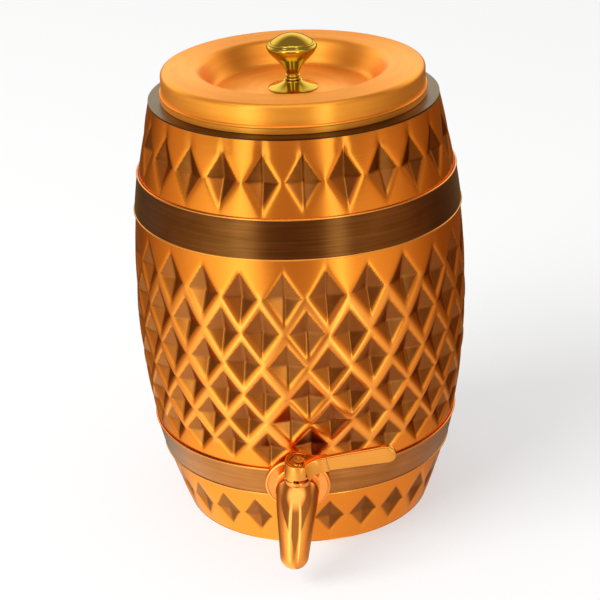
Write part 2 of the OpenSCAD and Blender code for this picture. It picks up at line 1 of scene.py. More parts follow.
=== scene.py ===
# %% [markdown]
# A copper barrel drink dispenser.
# The solids of this part come in as a fixed frame: every piece already has its place and its size.
# This lesson dresses that frame. It makes finer skins for the pieces that show, gives each metal its own
# finish, and sets up the floor, the light and the camera. The object's lengths below are millimetres, and
# one factor turns them into Blender's metres. Only the floor and the lamp are given in metres.

# %% Load the frame
import math

import bpy
import numpy as np
from mathutils import Matrix, Vector
from mathutils.geometry import interpolate_bezier


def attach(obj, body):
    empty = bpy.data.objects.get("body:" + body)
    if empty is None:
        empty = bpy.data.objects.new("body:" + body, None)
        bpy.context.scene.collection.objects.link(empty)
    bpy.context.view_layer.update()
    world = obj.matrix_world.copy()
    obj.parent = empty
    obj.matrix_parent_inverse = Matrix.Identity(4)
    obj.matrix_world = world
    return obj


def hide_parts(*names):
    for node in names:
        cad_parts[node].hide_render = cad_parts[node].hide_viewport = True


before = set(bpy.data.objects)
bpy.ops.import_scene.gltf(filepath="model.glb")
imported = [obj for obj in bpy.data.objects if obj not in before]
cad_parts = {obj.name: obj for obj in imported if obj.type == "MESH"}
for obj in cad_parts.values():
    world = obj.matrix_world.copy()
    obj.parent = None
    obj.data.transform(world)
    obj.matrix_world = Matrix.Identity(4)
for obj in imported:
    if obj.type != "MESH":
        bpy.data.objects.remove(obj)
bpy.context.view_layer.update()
MM = 0.001

# %% [markdown]
# Colours are written as the hex values that a paint program shows, which are sRGB.
# Shaders work with linear light, so one function converts them.
# A second small function adds a node, fills its sockets and makes its links in one go, which keeps
# the material cells short enough to read. Sockets without a name of their own are picked by number: on a
# Mix node 0 is the share and 6 and 7 are the two colours, and on a Map Range node 1 and 2 are the range
# that it reads, and 3 and 4 the range that it gives.


# %% Colour and node helpers
def linear(hex_text):
    """An sRGB hex colour as linear RGBA."""
    parts = [int(hex_text[i:i + 2], 16) / 255 for i in (1, 3, 5)]
    return [c / 12.92 if c <= 0.04045 else ((c + 0.055) / 1.055) ** 2.4 for c in parts] + [1.0]


def put(tree, kind, inputs=None, **settings):
    """Adds a node, sets its options, and fills each input with a value or a link."""
    node = tree.nodes.new(kind)
    for key, value in settings.items():
        setattr(node, key, value)
    for key, value in (inputs or {}).items():
        if isinstance(value, bpy.types.NodeSocket):
            tree.links.new(value, node.inputs[key])
        else:
            node.inputs[key].default_value = value
    return node


def new_material(name):
    """An empty material with its output node."""
    material = bpy.data.materials.new(name)
    material.use_nodes = True
    tree = material.node_tree
    tree.nodes.clear()
    return material, tree, put(tree, "ShaderNodeOutputMaterial")


print("copper in linear light:", [round(c, 3) for c in linear("#fa9232")])

# %% [markdown]
# Most of the sheet metal was spun or rolled, so its fine scratches run round the barrel's axis.
# A noise that is stretched along the turn and tight across it draws them. Its coordinates are the angle,
# the distance from the axis and the height, so the same pattern gives level lines on a wall and rings
# on a flat top. Real scratches are about 0.2 mm apart; here they are about 1 mm, because finer ones
# would vanish in the picture.


# %% Scratches round the axis
def scratches(tree, gap_mm, turns):
    """A noise of fine lines that run round the Z axis."""
    place = put(tree, "ShaderNodeTexCoord")
    parts = put(tree, "ShaderNodeSeparateXYZ", {0: place.outputs["Object"]})
    flat = put(tree, "ShaderNodeCombineXYZ", {0: parts.outputs[0], 1: parts.outputs[1]})
    away = put(tree, "ShaderNodeVectorMath", {0: flat.outputs[0]}, operation="LENGTH")
    angle = put(tree, "ShaderNodeTexGradient", {0: place.outputs["Object"]}, gradient_type="RADIAL")
    across = 1 / (gap_mm * MM)
    around = put(tree, "ShaderNodeMath", {0: angle.outputs["Fac"], 1: turns}, operation="MULTIPLY")
    out = put(tree, "ShaderNodeMath", {0: away.outputs["Value"], 1: across}, operation="MULTIPLY")
    up = put(tree, "ShaderNodeMath", {0: parts.outputs[2], 1: across}, operation="MULTIPLY")
    where = put(tree, "ShaderNodeCombineXYZ", {0: around.outputs[0], 1: out.outputs[0], 2: up.outputs[0]})
    return put(tree, "ShaderNodeTexNoise", {"Vector": where.outputs[0], "Scale": 1.0, "Detail": 3.0})


print("helper ready: scratches")

# %% [markdown]
# Lacquered copper, rubbed bright. The barrel's dents keep a brown patina, because a polishing wheel only
# reaches the ridges. Three point attributes, which the mesh cell fills, drive the colour: one is the brown
# patina in the dents, one a darker brown painted on the dents' faces as shade, and one a lighter copper
# painted on the ridges' middle as a highlight. A noise makes the brown's edge a little ragged.
# Copper is a metal, so its colour is the colour of its reflections. Level scratches stretch a reflection
# upwards, which the anisotropy gives.

# %% Embossed copper
blotch_mm, drift_mm, ragged = 7.0, 45.0, 0.16
embossed_copper, tree, out = new_material("embossed_copper_lacquered")
place = put(tree, "ShaderNodeTexCoord").outputs["Object"]
patina, painted_shade, crest_highlight = (put(tree, "ShaderNodeAttribute", attribute_name=name).outputs["Fac"]
                          for name in ("patina", "painted_shade", "crest_highlight"))
uneven = put(tree, "ShaderNodeTexNoise", {"Vector": place, "Scale": 1 / (blotch_mm * MM)}).outputs["Fac"]
tone = put(tree, "ShaderNodeTexNoise", {"Vector": place, "Scale": 1 / (drift_mm * MM)}).outputs["Fac"]
wobble = put(tree, "ShaderNodeMapRange", {0: uneven, 3: -ragged, 4: ragged}).outputs[0]
edge = put(tree, "ShaderNodeMath", {0: patina, 1: wobble}, operation="ADD", use_clamp=True).outputs[0]
brown = put(tree, "ShaderNodeMath", {0: edge, 1: patina}, operation="MULTIPLY", use_clamp=True).outputs[0]
bright = put(tree, "ShaderNodeMix", {0: tone, 6: linear("#fa9232"), 7: linear("#f08428")}, data_type="RGBA")
# Painted highlight: the ridges' middle is lightened towards a paler copper.
crest_lit = put(tree, "ShaderNodeMix", {0: crest_highlight, 6: bright.outputs[2], 7: linear("#ffa04a")}, data_type="RGBA")
stain = put(tree, "ShaderNodeMix", {0: uneven, 6: linear("#945024"), 7: linear("#a86230")}, data_type="RGBA")
# Painted shade: the dents' faces are darkened towards a deep brown, most on their right.
painted_dark = put(tree, "ShaderNodeMix", {0: painted_shade, 6: stain.outputs[2], 7: linear("#743a0c")}, data_type="RGBA")
colour = put(tree, "ShaderNodeMix", {0: brown, 6: crest_lit.outputs[2], 7: painted_dark.outputs[2]}, data_type="RGBA")
lines = scratches(tree, gap_mm=1.0, turns=24.0)
bump = put(tree, "ShaderNodeBump", {"Strength": 0.06, "Distance": 0.4 * MM, "Height": lines.outputs["Fac"]})
ring = put(tree, "ShaderNodeTangent", direction_type="RADIAL", axis="Z")
shader = put(tree, "ShaderNodeBsdfPrincipled", {
    "Base Color": colour.outputs[2],
    "Metallic": 1.0,
    "Roughness": put(tree, "ShaderNodeMapRange", {0: brown, 3: 0.25, 4: 0.31}).outputs[0],
    "Specular Tint": linear("#ffe2c4"),
    "Anisotropic": 0.5,
    "Anisotropic Rotation": 0.25,
    "Coat Weight": 0.1,
    "Coat Roughness": 0.12,
    "Normal": bump.outputs[0],
    "Tangent": ring.outputs[0],
})
tree.links.new(shader.outputs[0], out.inputs[0])
print("made", embossed_copper.name)

# %% [markdown]
# Spun copper for the lid. The sheet was pressed over a form on a lathe and then brushed on it, so its
# scratches are rings. It is the barrel's copper without the patina, a little rougher and more golden. The
# brushing leaves paler and darker rings, and its fine fuzz scatters some light, so it isn't quite all metal.

# %% Brushed copper
brushed_copper, tree, out = new_material("spun_copper_brushed")
lines = scratches(tree, gap_mm=1.1, turns=18.0)
streak = scratches(tree, gap_mm=4.0, turns=5.0)
tone = put(tree, "ShaderNodeMapRange", {0: streak.outputs["Fac"], 1: 0.3, 2: 0.7}).outputs[0]
colour = put(tree, "ShaderNodeMix", {0: tone, 6: linear("#fca43c"), 7: linear("#f29630")}, data_type="RGBA")
bump = put(tree, "ShaderNodeBump", {"Strength": 0.14, "Distance": 0.4 * MM, "Height": lines.outputs["Fac"]})
ring = put(tree, "ShaderNodeTangent", direction_type="RADIAL", axis="Z")
shader = put(tree, "ShaderNodeBsdfPrincipled", {
    "Base Color": colour.outputs[2],
    "Metallic": 0.78,
    "Roughness": put(tree, "ShaderNodeMapRange", {0: lines.outputs["Fac"], 3: 0.26, 4: 0.42}).outputs[0],
    "Specular Tint": linear("#ffeed8"),
    "Anisotropic": 0.85,
    "Anisotropic Rotation": 0.25,
    "Coat Weight": 0.05,
    "Coat Roughness": 0.15,
    "Normal": bump.outputs[0],
    "Tangent": ring.outputs[0],
})
tree.links.new(shader.outputs[0], out.inputs[0])
print("made", brushed_copper.name)

# %% [markdown]
# Antique copper for the hoops and the neck ring. The same metal is darkened all over in a chemical bath
# and brushed level, so it shows dark brown with paler streaks. The neck ring gets a darker, less metallic copy
# as painted shade for the shadow under the lid. The lower hoop gets a paler copy as painted light. A hoop's
# edges are bright copper, partly rubbed back by wear and partly a painted highlight.


# %% Antique copper
def antique(name, dark, pale, bare):
    """Darkened copper, brushed round its axis, with a share of bare metal."""
    cloud_mm = 30.0
    material, tree, out = new_material(name)
    place = put(tree, "ShaderNodeTexCoord").outputs["Object"]
    lines = scratches(tree, gap_mm=1.0, turns=14.0).outputs["Fac"]
    tone = put(tree, "ShaderNodeTexNoise", {"Vector": place, "Scale": 1 / (cloud_mm * MM)}).outputs["Fac"]
    streak = put(tree, "ShaderNodeMath", {0: lines, 1: tone}, operation="MULTIPLY").outputs[0]
    amount = put(tree, "ShaderNodeMapRange", {0: streak, 1: 0.1, 2: 0.42}).outputs[0]
    colour = put(tree, "ShaderNodeMix", {0: amount, 6: linear(dark), 7: linear(pale)}, data_type="RGBA")
    bump = put(tree, "ShaderNodeBump", {"Strength": 0.12, "Distance": 0.4 * MM, "Height": lines})
    ring = put(tree, "ShaderNodeTangent", direction_type="RADIAL", axis="Z")
    shader = put(tree, "ShaderNodeBsdfPrincipled", {
        "Base Color": colour.outputs[2],
        "Metallic": bare,
        "Roughness": put(tree, "ShaderNodeMapRange", {0: lines, 3: 0.2, 4: 0.3}).outputs[0],
        "Anisotropic": 0.7,
        "Anisotropic Rotation": 0.25,
        "Normal": bump.outputs[0],
        "Tangent": ring.outputs[0],
    })
    tree.links.new(shader.outputs[0], out.inputs[0])
    return material


# Bright edge copper: partly edge wear, partly a painted highlight.
edge_highlight_copper = antique("rubbed_copper_edge_highlight", "#e0923e", "#f8ac54", bare=1.0)
antique_copper = antique("antique_copper_brushed", "#603414", "#844c26", bare=1.0)
# Painted light: a paler copy of the hoop copper for the lower hoop.
painted_light_copper = antique("antique_copper_painted_light", "#a05c2a", "#c07840", bare=1.0)
# Painted shade: a darker, less metallic copy of the hoop copper for the neck ring under the lid.
shaded_neck_copper = antique("antique_copper_neck_shaded", "#381c0a", "#522e10", bare=0.85)
print("made", edge_highlight_copper.name, antique_copper.name, painted_light_copper.name, shaded_neck_copper.name)

# %% [markdown]
# Polished brass for the knob and its foot. Brass is yellower than copper. A buffing wheel leaves it like
# a mirror, with faint rings from the lathe under the shine.

# %% Polished brass
haze_mm = 6.0
polished_brass, tree, out = new_material("turned_brass_polished")
place = put(tree, "ShaderNodeTexCoord").outputs["Object"]
haze = put(tree, "ShaderNodeTexNoise", {"Vector": place, "Scale": 1 / (haze_mm * MM)}).outputs["Fac"]
colour = put(tree, "ShaderNodeMix", {0: haze, 6: linear("#d8b850"), 7: linear("#c8a63e")}, data_type="RGBA")
lines = scratches(tree, gap_mm=0.9, turns=3.0)
bump = put(tree, "ShaderNodeBump", {"Strength": 0.03, "Distance": 0.3 * MM, "Height": lines.outputs["Fac"]})
shader = put(tree, "ShaderNodeBsdfPrincipled", {
    "Base Color": colour.outputs[2],
    "Metallic": 1.0,
    "Roughness": put(tree, "ShaderNodeMapRange", {0: haze, 3: 0.06, 4: 0.14}).outputs[0],
    "Specular Tint": linear("#fff4d8"),
    "Normal": bump.outputs[0],
})
tree.links.new(shader.outputs[0], out.inputs[0])
print("made", polished_brass.name)

# %% [markdown]
# Cast brass for the tap, dipped in copper and buffed. The casting keeps a slight waviness that bends
# the mirror's reflections, so the bump here is broad and low.

# %% Buffed tap brass
wave_mm, haze_mm = 8.0, 3.0
tap_brass, tree, out = new_material("cast_brass_buffed")
place = put(tree, "ShaderNodeTexCoord").outputs["Object"]
waves = put(tree, "ShaderNodeTexNoise", {"Vector": place, "Scale": 1 / (wave_mm * MM), "Detail": 1.0})
haze = put(tree, "ShaderNodeTexNoise", {"Vector": place, "Scale": 1 / (haze_mm * MM)}).outputs["Fac"]
colour = put(tree, "ShaderNodeMix", {0: haze, 6: linear("#fca256"), 7: linear("#f69648")}, data_type="RGBA")
bump = put(tree, "ShaderNodeBump", {"Strength": 0.1, "Distance": 0.6 * MM, "Height": waves.outputs["Fac"]})
shader = put(tree, "ShaderNodeBsdfPrincipled", {
    "Base Color": colour.outputs[2],
    "Metallic": 1.0,
    "Roughness": put(tree, "ShaderNodeMapRange", {0: haze, 3: 0.04, 4: 0.09}).outputs[0],
    "Specular Tint": linear("#fff0dc"),
    "Normal": bump.outputs[0],
})
tree.links.new(shader.outputs[0], out.inputs[0])
print("made", tap_brass.name)

# %% [markdown]
# The lever was belt-polished along its length and then only lightly buffed, so it is a satin version
# of the tap's metal. Its grain is a noise that is long one way and fine the two others.

# %% Satin lever brass
long_grain, fine_grain = 1 / (16.67 * MM), 1 / (1.11 * MM)
lever_brass, tree, out = new_material("cast_brass_satin")
place = put(tree, "ShaderNodeTexCoord").outputs["Object"]
along = put(tree, "ShaderNodeMapping", {0: place, 3: (long_grain, fine_grain, fine_grain)}).outputs[0]
grain = put(tree, "ShaderNodeTexNoise", {"Vector": along, "Scale": 1.0, "Detail": 3.0}).outputs["Fac"]
colour = put(tree, "ShaderNodeMix", {0: grain, 6: linear("#f4a24c"), 7: linear("#ec9642")}, data_type="RGBA")
bump = put(tree, "ShaderNodeBump", {"Strength": 0.05, "Distance": 0.3 * MM, "Height": grain})
shader = put(tree, "ShaderNodeBsdfPrincipled", {
    "Base Color": colour.outputs[2],
    "Metallic": 1.0,
    "Roughness": put(tree, "ShaderNodeMapRange", {0: grain, 3: 0.12, 4: 0.22}).outputs[0],
    "Specular Tint": linear("#fff0dc"),
    "Normal": bump.outputs[0],
})
tree.links.new(shader.outputs[0], out.inputs[0])
print("made", lever_brass.name)

# %% [markdown]
# The pieces inside the tap and under the lid are seldom seen, but each still gets its own finish: plain
# rolled copper, turned brass, a paler brass for the screw, bright steel, a blackened pin, black rubber and
# white PTFE. The barrel's inside is left as it came from the annealing fire, so it is dull with oxide.
# One function serves them, because they only differ in colour, in metal or not, and in grain.


# %% Plain finishes
def plain(name, dark, light, metallic, rough, grain_mm, depth):
    """A finish with one grain that shades its colour, its roughness and its relief."""
    material, tree, out = new_material(name)
    place = put(tree, "ShaderNodeTexCoord").outputs["Object"]
    grain = put(tree, "ShaderNodeTexNoise", {"Vector": place, "Scale": 1 / (grain_mm * MM), "Detail": 4.0})
    fac = grain.outputs["Fac"]
    colour = put(tree, "ShaderNodeMix", {0: fac, 6: linear(dark), 7: linear(light)}, data_type="RGBA")
    bump = put(tree, "ShaderNodeBump", {"Strength": depth, "Distance": 0.3 * MM, "Height": fac})
    shader = put(tree, "ShaderNodeBsdfPrincipled", {
        "Base Color": colour.outputs[2],
        "Metallic": metallic,
        "Roughness": put(tree, "ShaderNodeMapRange", {0: fac, 3: rough[0], 4: rough[1]}).outputs[0],
        "Normal": bump.outputs[0],
    })
    tree.links.new(shader.outputs[0], out.inputs[0])
    return material


rolled_copper = plain("rolled_copper_plain", "#c9743a", "#e08c4c",
                      metallic=1.0, rough=(0.28, 0.4), grain_mm=5.0, depth=0.06)
inner_copper = plain("annealed_copper_inside", "#a4683c", "#bc8050",
                     metallic=0.4, rough=(0.42, 0.58), grain_mm=8.0, depth=0.06)
turned_brass = plain("turned_brass_plain", "#c89238", "#dcaa50",
                     metallic=1.0, rough=(0.18, 0.3), grain_mm=1.2, depth=0.06)
screw_brass = plain("turned_brass_pale", "#f0c880", "#f8d898",
                    metallic=1.0, rough=(0.14, 0.24), grain_mm=1.0, depth=0.04)
bright_steel = plain("zinc_plated_steel", "#a4a8ac", "#c4c8cc",
                     metallic=1.0, rough=(0.22, 0.36), grain_mm=1.5, depth=0.05)
black_steel = plain("blackened_steel", "#2a1c12", "#4a3422",
                    metallic=1.0, rough=(0.3, 0.45), grain_mm=1.0, depth=0.05)
black_rubber = plain("nitrile_rubber", "#1c1c1c", "#2a2a2a",
                     metallic=0.0, rough=(0.55, 0.75), grain_mm=0.8, depth=0.15)
white_ptfe = plain("ptfe_white", "#e4e4de", "#f2f2ee",
                   metallic=0.0, rough=(0.35, 0.5), grain_mm=1.0, depth=0.05)
print("made eight plain finishes")

# %% [markdown]
# Round pieces are turned from an outline, as on a lathe. Corners of real metal are never sharp, so one
# helper rounds an outline's corners, and another makes a sheet from its middle line.


# %% Outlines
def rounded(points, radii, steps=5):
    """An open outline with its inner corners rounded by the given radii."""
    share, straight = 0.49, 1.55
    points = [Vector(p) for p in points]
    path = [points[0]]
    for i in range(1, len(points) - 1):
        here, r = points[i], radii[i]
        back, ahead = points[i - 1] - here, points[i + 1] - here
        reach = min(back.length, ahead.length) * share
        half = back.angle(ahead) / 2
        if r <= 0 or half > straight:
            path.append(here)
            continue
        cut = min(r / math.tan(half), reach)
        a, b = here + back.normalized() * cut, here + ahead.normalized() * cut
        for k in range(steps + 1):
            t = k / steps
            path.append(a.lerp(here, t).lerp(here.lerp(b, t), t))
    path.append(points[-1])
    return [(p.x, p.y) for p in path]


def thicken(path, thick):
    """The closed outline of a sheet whose middle line is the path."""
    pts = np.array(path)
    run = np.gradient(pts, axis=0)
    run /= np.linalg.norm(run, axis=1)[:, None]
    side = np.stack([-run[:, 1], run[:, 0]], axis=1) * thick / 2
    return [tuple(p) for p in np.vstack([pts - side, (pts + side)[::-1]])]


print("points on one rounded corner:", len(rounded([(0, 0), (10, 0), (10, 10)], [0, 2, 0])) - 2)

# %% [markdown]
# Each point of an outline becomes a ring of points, and faces join the rings. Blender's Screw modifier could
# turn the outline too, but building the rings in code keeps full control of the seams and of where smooth
# shading stops. A skin is the same thing for rings that aren't round, such as the spout's.


# %% Turning
def turned(outline, segments, closed):
    """Vertices and faces of an outline of (radius, height) turned round the Z axis."""
    on_axis = 1e-6
    verts, faces, rings = [], [], []
    for r, z in outline:
        if abs(r) < on_axis:
            rings.append([len(verts)] * segments)
            verts.append((0.0, 0.0, z))
            continue
        rings.append(list(range(len(verts), len(verts) + segments)))
        for k in range(segments):
            a = 2 * math.pi * k / segments
            verts.append((r * math.cos(a), r * math.sin(a), z))
    pairs = list(zip(rings, rings[1:]))
    if closed:
        pairs.append((rings[-1], rings[0]))
    for low, high in pairs:
        for k in range(segments):
            n = (k + 1) % segments
            face = list(dict.fromkeys((low[k], low[n], high[n], high[k])))
            if len(face) > 2:
                faces.append(face)
    return verts, faces


def skin(rings, around, start=0):
    """The faces between rings that have the same number of points."""
    faces = []
    for j in range(rings - 1):
        low, high = start + j * around, start + (j + 1) * around
        for k in range(around):
            n = (k + 1) % around
            faces.append((low + k, low + n, high + n, high + k))
    return faces


print("faces of a turned cone:", len(turned([(1, 0), (0, 1)], 12, False)[1]))

# %% [markdown]
# A piece is a mesh with a finish. It says which body it rides on and which of the frame's solids it
# stands for. Edges sharper than the crease angle stay sharp under smooth shading.


# %% Making a piece
def joined(*shapes):
    """Several (vertices, faces, matrix) shapes as one list of vertices and one of faces."""
    verts, faces = [], []
    for v, f, matrix in shapes:
        start = len(verts)
        verts += [matrix @ Vector(p) for p in v]
        faces += [[i + start for i in face] for face in f]
    return verts, faces


def piece(name, verts, faces, material, body, stands_for, crease=32):
    """A mesh piece in metres that rides on a body and stands for CAD nodes."""
    mesh = bpy.data.meshes.new(name)
    mesh.from_pydata([Vector(v) * MM for v in verts], [], faces)
    mesh.validate()
    mesh.polygons.foreach_set("use_smooth", [True] * len(mesh.polygons))
    mesh.set_sharp_from_angle(angle=math.radians(crease))
    mesh.materials.append(material)
    obj = bpy.data.objects.new(name, mesh)
    bpy.context.scene.collection.objects.link(obj)
    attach(obj, body)
    if stands_for:
        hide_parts(*stands_for)
    print(name, "faces:", len(mesh.polygons))
    return obj


HERE = Matrix.Identity(4)
print("helpers ready: joined, piece")

# %% [markdown]
# The barrel. Its outline is two arcs that meet at the belly. The wall has one thickness, so its inside is the
# same outline moved in.

# %% The barrel's outline
belly_r, belly_z, base_r, rim_r, shell_h, wall = 95.0, 128.0, 71.2, 81.2, 245.0, 1.2
low_arc = (belly_z ** 2 + (belly_r - base_r) ** 2) / (2 * (belly_r - base_r))
high_arc = ((shell_h - belly_z) ** 2 + (belly_r - rim_r) ** 2) / (2 * (belly_r - rim_r))


def barrel_r(z, out=0.0):
    """The barrel's radius at a height, moved out by a distance."""
    z = np.asarray(z, float)
    arc = np.where(z < belly_z, low_arc, high_arc)
    return belly_r - arc + np.sqrt((arc + out) ** 2 - (z - belly_z) ** 2)


print("arcs of the barrel's side:", round(low_arc), "and", round(high_arc), "mm")

# %% [markdown]
# A press pushed eight rows of four-sided dents into the sheet. A row says where its dents' level crease is (z),
# how wide they are (w), how far they reach above and below the crease, how deep they go, how far the row is
# turned and how many dents it has. soft rounds their edges, as bent sheet does. groove is for the small
# upright valleys over the top row. inset is how far inside its edge a dent's brown begins, dark how much
# painted shade its upper faces get, and the last key how much painted light its lower faces get, mostly on
# the left, where it takes the brown away.
# Hand work shows as a small change from dent to dent: loose says how far a dent may stray. It comes from a
# fixed seed, so that each run gives the same barrel.

# %% Rows of dents
mid_columns, end_columns = 25, 24
mid_turn, half_step = -2.2, 180 / mid_columns
first_row_z, row_pitch, row_ratio, crease_drop = 162.4, 20.4, 0.94, 2.0
top_row = dict(z=223.2, w=21.4, above=16.5, below=16.5, depth=4.0, turn=6.3, count=end_columns,
               soft=0.17, groove=1.0, inset=0.05, loose=0.45, dark=1.6, shine=0.25)
mid_row = dict(depth=4.4, count=mid_columns,
               soft=0.09, groove=0.0, inset=0.035, loose=0.9, dark=0.26, shine=0.18)
bottom_row = dict(z=18.4, w=19.6, above=13.8, below=13.8, depth=2.6, turn=-3.2, count=end_columns,
                  soft=0.2, groove=0.0, inset=0.05, loose=0.45, dark=0.5, shine=0.1)
rows = [top_row]
for i in range(6):
    z = first_row_z - row_pitch * (1 - row_ratio ** i) / (1 - row_ratio)
    tall = row_pitch * row_ratio ** i
    step = 2 * math.pi * float(barrel_r(z)) / mid_columns
    rows.append(dict(mid_row, z=z - crease_drop, w=0.95 * step, above=0.82 * tall, below=0.78 * tall,
                     turn=mid_turn + (i % 2) * half_step))
rows.append(bottom_row)
hand = np.random.default_rng(11)
for row in rows:
    row["lift"] = hand.normal(0, row["loose"], row["count"])
    row["shift"] = hand.normal(0, 0.55 * row["loose"], row["count"])
    row["press"] = 1 + hand.normal(0, 0.07, row["count"])
print("rows:", [round(row["z"], 1) for row in rows])

# %% [markdown]
# A height field presses the dents: for each point of a fine grid round the barrel it says how far the point
# sinks. A dent is a pyramid, so its depth falls evenly from its middle to its four edges. The same
# distances say where the sheet is brown, where painted shade darkens it and where a painted highlight
# lightens a crest. A crest lies where two dents of the middle rows are equally near.


# %% The dents' field
def dents(theta, z):
    """How deep and how brown the sheet is, and how much painted shade and painted crest highlight it gets, at
    an angle in degrees and a height.
    """
    far_off, row_reach, ridge_at, ridge_width = -9.0, 2.2, -0.14, 0.13
    deep = np.zeros(np.broadcast(theta, z).shape)
    brown = np.zeros_like(deep)
    painted_dark = np.zeros_like(deep)
    nearest = np.full_like(deep, far_off)
    second = np.full_like(deep, far_off)
    for row in rows:
        pitch = 360 / row["count"]
        index = np.round((theta - row["turn"]) / pitch).astype(int)
        nth = index % row["count"]
        arc = np.radians(theta - row["turn"] - index * pitch) * float(barrel_r(row["z"]))
        aside = arc - row["shift"][nth]
        x = np.abs(aside) / (row["w"] / 2)
        rise = z - row["z"] - row["lift"][nth]
        over = rise / np.where(rise > 0, row["above"], row["below"])
        y = np.abs(over)
        inside = 1 - x - y
        soft = (inside + np.sqrt(inside ** 2 + row["soft"] ** 2)) / 2
        deep += row["depth"] * row["press"][nth] * soft * (y < row_reach)
        low = np.clip(-rise / 1.2, 0, 1)
        right = np.clip(0.5 + aside / 1.6, 0, 1)
        edge = np.clip((inside - row["inset"]) / (0.08 + 0.16 * low), 0, 1)
        if row["count"] == mid_columns:
            second = np.maximum(second, np.minimum(nearest, inside))
            nearest = np.maximum(nearest, inside)
        # Painted light and shade: the lower faces lose brown on the left, and the upper faces and the right
        # side get a darker painted brown.
        lit_low_left = row["shine"] * low * (1 - right)
        brown = np.maximum(brown, edge * edge * (3 - 2 * edge) * (1 - lit_low_left))
        shade_high = row["dark"] * (1 - low) * (0.5 + 1.3 * right)
        shade_low = low * (0.1 + 0.8 * right) * (1 - row["shine"])
        painted_dark = np.maximum(painted_dark, np.clip(edge * (shade_high + shade_low), 0, 1))
        fade = np.clip((over - 0.7) / 0.2, 0, 1) * np.clip((1.85 - over) / 0.9, 0, 1)
        valley = row["groove"] * fade * np.exp(-(x / 0.3) ** 2)
        deep += 0.4 * valley
        brown = np.maximum(brown, 0.55 * valley)
    between = np.clip((second + 0.75) / 0.35, 0, 1)
    crest_highlight = np.exp(-((nearest - ridge_at) / ridge_width) ** 2) * between
    return deep, brown, painted_dark, crest_highlight


def ring_points(radius, theta, z):
    """Points on a grid, with angle zero at the front and growing to the right."""
    a = np.radians(theta)
    return np.stack([radius * np.sin(a), -radius * np.cos(a), np.broadcast_to(z, radius.shape)], axis=-1)


print("deepest point of the front middle dent:", round(float(dents(mid_turn, rows[1]["z"])[0]), 1), "mm")

# %% [markdown]
# The grid is as fine as the dents need, and coarse where the hoops hide it. Its lines fall on the middle
# rows' upright creases and on each row's level one, which keeps them crisp. The inside has a coarser grid, and
# a strip of faces joins the two at the rims.

# %% The barrel's mesh
upper_band, lower_band = (182.4, 204.4), (36.9, 55.3)
fine_step, hidden_step, dent_spokes = 1.0, 6.0, 24
marks = sorted([0.0, *lower_band, *upper_band, shell_h] + [row["z"] for row in rows])
levels = [0.0]
for low, high in zip(marks, marks[1:]):
    step = hidden_step if (low, high) in (upper_band, lower_band) else fine_step
    count = max(1, round((high - low) / step))
    levels += [low + (high - low) * (k + 1) / count for k in range(count)]
levels = np.array(levels)
spokes = mid_columns * dent_spokes
theta = mid_turn + np.arange(spokes) * 360 / spokes
grid_theta, grid_z = np.meshgrid(theta, levels)
deep, brown, painted_dark, crest_highlight = dents(grid_theta, grid_z)
outer = ring_points(barrel_r(levels)[:, None] - deep, grid_theta, grid_z)
inner_levels = levels[::-1][::3]
inner_theta, inner_z = np.meshgrid(theta[::2], inner_levels)
inner_r = barrel_r(inner_levels)[:, None] - dents(inner_theta, inner_z)[0] - wall
inner = ring_points(inner_r, inner_theta, inner_z)
tall, wide = outer.shape[:2]
low_tall, low_wide = inner.shape[:2]
start = tall * wide
faces = skin(tall, wide) + skin(low_tall, low_wide, start)
for rim, inner_rim in (((tall - 1) * wide, start), (0, start + (low_tall - 1) * low_wide)):
    for k in range(low_wide):
        n = (k + 1) % low_wide
        faces.append((rim + 2 * k, rim + 2 * k + 1, rim + (2 * k + 2) % wide, inner_rim + n, inner_rim + k))
points = np.vstack([outer.reshape(-1, 3), inner.reshape(-1, 3)])
barrel = piece("barrel_skin", points.tolist(), faces, embossed_copper, "vessel",
               ["body_shell"], crease=60)
barrel.data.materials.append(inner_copper)
inside = np.arange(len(faces)) >= (tall - 1) * wide
barrel.data.polygons.foreach_set("material_index", inside.astype(int))
# The three layers: brown patina in the dents, painted shade on the dents' faces, and a painted highlight on the
# crests.
for name, field in (("patina", brown), ("painted_shade", painted_dark), ("crest_highlight", crest_highlight)):
    layer = barrel.data.attributes.new(name, "FLOAT", "POINT")
    layer.data.foreach_set("value", np.concatenate([field.ravel(), np.zeros(low_tall * low_wide)]))

# %% [markdown]
# Two hoops of thin dark sheet lie round the barrel. Each follows the barrel's curve, and its edges are
# rolled a little, which is where a hoop catches the light.


# %% Hoops
def hoop(name, band, node, finish):
    """A band that follows the barrel between two heights, with a rolled bead on each edge."""
    thick, gap, soft, bead_r, bead_in, bead_out, sides = 0.8, 0.05, 0.35, 0.55, 0.2, 0.35, 240
    low, high = band
    heights = np.linspace(low, high, 12)
    face = [(float(barrel_r(z, gap + thick)), z) for z in heights]
    back = [(float(barrel_r(z, gap)), z) for z in heights[::-1]]
    loop = [(face[0][0] - soft, low), (face[0][0], low + soft)] + face[1:-1]
    loop += [(face[-1][0], high - soft), (face[-1][0] - soft, high)] + back
    verts, faces = turned(loop, sides, True)
    piece(name, verts, faces, finish, "vessel", [node])
    beads = []
    for z in (low + bead_in, high - bead_in):
        middle = float(barrel_r(z, bead_out + thick / 2))
        bead = [(middle + bead_r * math.cos(a), z + bead_r * math.sin(a))
                for a in np.linspace(0, 2 * math.pi, 9)[:8]]
        beads.append((*turned(bead, sides, True), HERE))
    verts, faces = joined(*beads)
    # The edge beads' bright copper is partly wear and partly a painted highlight.
    piece(name + "_edges", verts, faces, edge_highlight_copper, "vessel", [], crease=80)


hoop("upper_hoop_band", upper_band, "upper_hoop", antique_copper)
# The lower hoop's paler finish is painted light.
hoop("lower_hoop_band", lower_band, "lower_hoop", painted_light_copper)

# %% [markdown]
# The neck ring closes the barrel's top edge: a flat flange that shows as a dark step round the lid, an
# upright collar that the lid slips over, and a lip that is soldered inside the barrel.

